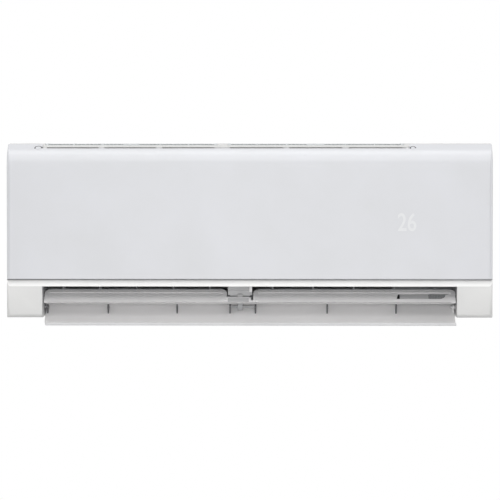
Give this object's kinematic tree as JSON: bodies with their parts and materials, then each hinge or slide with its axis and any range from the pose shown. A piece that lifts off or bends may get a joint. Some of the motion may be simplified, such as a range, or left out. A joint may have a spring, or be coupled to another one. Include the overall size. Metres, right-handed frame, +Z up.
{
  "type": "mini split indoor unit",
  "caption": "Wall-mounted indoor unit of a mini split air conditioner, white, with its outlet louvers open.",
  "frame": {"origin": "wall plate's back face, at mid width and mid height of the casing", "axes": "+X to the viewer's right along the unit, +Y into the wall, +Z up; the front faces -Y"},
  "size_m": [0.8, 0.2021, 0.3021],
  "materials": {
    "panel": "satin",
    "casing": "fine moulded",
    "louver": "fine moulded",
    "duct": "moulded",
    "inner": "moulded",
    "filter": "moulded frame with net",
    "fin": "coated fins",
    "steel": "zinc plated",
    "copper": "drawn copper tube",
    "brass": "turned",
    "rubber": "moulded",
    "board": "circuit board",
    "lens": "clear"
  },
  "bodies": {
    "casing": {"front_frame": "casing", "wall_plate": "steel", "rear_casing": "casing", "outlet_duct": "duct", "centre_bracket": "duct", "drain_plug": "rubber", "front_lower_fins": "fin", "front_upper_fins": "fin", "rear_fins": "fin", "left_end_plate": "steel", "right_end_plate": "steel", "coil_tube": "copper", "liquid_pipe": "copper", "gas_pipe": "copper", "liquid_flare_nut": "brass", "gas_flare_nut": "brass", "fan_bearing": "rubber", "fan_motor": "steel", "motor_clamp": "steel", "control_box": "inner", "control_board": "board", "control_box_cover": "inner", "terminal_block": "inner", "cord_clamp": "inner", "display_board": "board", "display_lens": "lens", "button_switch": "inner", "room_sensor": "copper", "left_frame_screw": "steel", "middle_frame_screw": "steel", "right_frame_screw": "steel", "louver_motor": "inner"},
    "panel": {"front_panel": "panel"},
    "filter_left": {"left_filter": "filter"},
    "filter_right": {"right_filter": "filter"},
    "fan": {"cross_flow_fan": "inner", "fan_stub_shaft": "steel", "motor_shaft": "steel"},
    "louver": {"lower_louver": "louver", "louver_coupler": "inner"},
    "vane_upper": {"upper_vane": "louver", "vane_insert": "inner"},
    "button": {"emergency_button": "casing"},
    "left_vane_1_body": {"left_vane_1": "duct"},
    "left_vane_2_body": {"left_vane_2": "duct"},
    "left_vane_3_body": {"left_vane_3": "duct"},
    "left_vane_4_body": {"left_vane_4": "duct"},
    "left_vane_5_body": {"left_vane_5": "duct"},
    "left_link_body": {"left_link_bar": "inner"},
    "right_vane_1_body": {"right_vane_1": "duct"},
    "right_vane_2_body": {"right_vane_2": "duct"},
    "right_vane_3_body": {"right_vane_3": "duct"},
    "right_vane_4_body": {"right_vane_4": "duct"},
    "right_vane_5_body": {"right_vane_5": "duct"},
    "right_link_body": {"right_link_bar": "inner"}
  },
  "joints": [
    {"name": "panel_hinge", "type": "hinge", "parent": "casing", "child": "panel", "pos_m": [0, -0.18, 0.133], "axis": [-1, 0, 0], "range_deg": [0, 60]},
    {"name": "left_filter_lift", "type": "slide", "parent": "casing", "child": "filter_left", "axis": [0, 0, 1], "range_m": [0, 0.08]},
    {"name": "right_filter_lift", "type": "slide", "parent": "casing", "child": "filter_right", "axis": [0, 0, 1], "range_m": [0, 0.08]},
    {"name": "fan_spin", "type": "hinge", "parent": "casing", "child": "fan", "pos_m": [0, -0.088, -0.046], "axis": [1, 0, 0], "continuous": true},
    {"name": "louver_swing", "type": "hinge", "parent": "casing", "child": "louver", "pos_m": [0, -0.1547, -0.1278], "axis": [1, 0, 0], "range_deg": [-67.5, 10]},
    {"name": "upper_vane_swing", "type": "hinge", "parent": "casing", "child": "vane_upper", "pos_m": [0, -0.168, -0.1098], "axis": [1, 0, 0], "range_deg": [-67.5, 10]},
    {"name": "button_press", "type": "slide", "parent": "casing", "child": "button", "axis": [0, 1, 0], "range_m": [0, 0.0015], "stiffness_N_per_m": 400, "springref_m": -0.0005},
    {"name": "left_vane_1_swing", "type": "hinge", "parent": "casing", "child": "left_vane_1_body", "pos_m": [-0.31095, -0.133, -0.095], "axis": [0, -0.7071, 0.7071], "range_deg": [-30, 30]},
    {"name": "left_vane_2_swing", "type": "hinge", "parent": "casing", "child": "left_vane_2_body", "pos_m": [-0.24985, -0.133, -0.095], "axis": [0, -0.7071, 0.7071], "range_deg": [-30, 30]},
    {"name": "left_vane_3_swing", "type": "hinge", "parent": "casing", "child": "left_vane_3_body", "pos_m": [-0.18875, -0.133, -0.095], "axis": [0, -0.7071, 0.7071], "range_deg": [-30, 30]},
    {"name": "left_vane_4_swing", "type": "hinge", "parent": "casing", "child": "left_vane_4_body", "pos_m": [-0.12765, -0.133, -0.095], "axis": [0, -0.7071, 0.7071], "range_deg": [-30, 30]},
    {"name": "left_vane_5_swing", "type": "hinge", "parent": "casing", "child": "left_vane_5_body", "pos_m": [-0.06655, -0.133, -0.095], "axis": [0, -0.7071, 0.7071], "range_deg": [-30, 30]},
    {"name": "left_link_swing", "type": "hinge", "parent": "left_vane_1_body", "child": "left_link_body", "pos_m": [-0.31095, -0.13194, -0.0798], "axis": [0, -0.7071, 0.7071], "range_deg": [-30, 30]},
    {"name": "right_vane_1_swing", "type": "hinge", "parent": "casing", "child": "right_vane_1_body", "pos_m": [0.03775, -0.133, -0.095], "axis": [0, -0.7071, 0.7071], "range_deg": [-30, 30]},
    {"name": "right_vane_2_swing", "type": "hinge", "parent": "casing", "child": "right_vane_2_body", "pos_m": [0.10525, -0.133, -0.095], "axis": [0, -0.7071, 0.7071], "range_deg": [-30, 30]},
    {"name": "right_vane_3_swing", "type": "hinge", "parent": "casing", "child": "right_vane_3_body", "pos_m": [0.17275, -0.133, -0.095], "axis": [0, -0.7071, 0.7071], "range_deg": [-30, 30]},
    {"name": "right_vane_4_swing", "type": "hinge", "parent": "casing", "child": "right_vane_4_body", "pos_m": [0.24025, -0.133, -0.095], "axis": [0, -0.7071, 0.7071], "range_deg": [-30, 30]},
    {"name": "right_vane_5_swing", "type": "hinge", "parent": "casing", "child": "right_vane_5_body", "pos_m": [0.30775, -0.133, -0.095], "axis": [0, -0.7071, 0.7071], "range_deg": [-30, 30]},
    {"name": "right_link_swing", "type": "hinge", "parent": "right_vane_1_body", "child": "right_link_body", "pos_m": [0.03775, -0.13194, -0.0798], "axis": [0, -0.7071, 0.7071], "range_deg": [-30, 30]}
  ],
  "couplings": [
    {"joint": "upper_vane_swing", "follows": "louver_swing", "ratio": 1},
    {"joint": "left_vane_2_swing", "follows": "left_vane_1_swing", "ratio": 1},
    {"joint": "left_vane_3_swing", "follows": "left_vane_1_swing", "ratio": 1},
    {"joint": "left_vane_4_swing", "follows": "left_vane_1_swing", "ratio": 1},
    {"joint": "left_vane_5_swing", "follows": "left_vane_1_swing", "ratio": 1},
    {"joint": "left_link_swing", "follows": "left_vane_1_swing", "ratio": -1},
    {"joint": "right_vane_2_swing", "follows": "right_vane_1_swing", "ratio": 1},
    {"joint": "right_vane_3_swing", "follows": "right_vane_1_swing", "ratio": 1},
    {"joint": "right_vane_4_swing", "follows": "right_vane_1_swing", "ratio": 1},
    {"joint": "right_vane_5_swing", "follows": "right_vane_1_swing", "ratio": 1},
    {"joint": "right_link_swing", "follows": "right_vane_1_swing", "ratio": -1}
  ]
}
